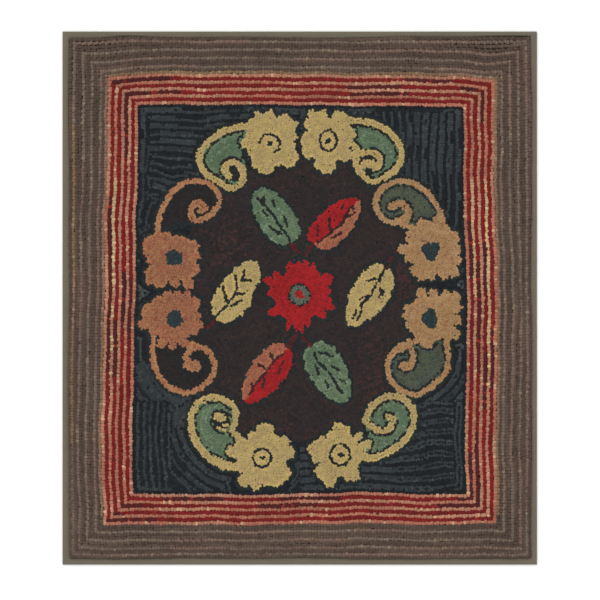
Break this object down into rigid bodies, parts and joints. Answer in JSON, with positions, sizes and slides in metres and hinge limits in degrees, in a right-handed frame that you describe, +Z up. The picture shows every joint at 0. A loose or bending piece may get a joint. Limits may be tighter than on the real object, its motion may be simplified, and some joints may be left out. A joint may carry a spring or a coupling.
{
  "type": "hooked rug",
  "caption": "Small flat hand-hooked wool rug with ribbed striped borders, a floral medallion field and a folded tape binding.",
  "frame": {"origin": "middle of the underside, on the surface that the rug lies on", "axes": "+Z up out of the pile, +Y towards the far short side, along the longer sides, +X to the right"},
  "size_m": [0.76, 0.854, 0.0089],
  "materials": {
    "wool_pile": "matt looped wool pile in many heathered colours, hooked in rows",
    "tape": "plain woven cotton tape, faded olive grey, matt"
  },
  "bodies": {
    "root": {"hooked_rug": "wool_pile", "binding_tape": "tape"}
  },
  "joints": []
}
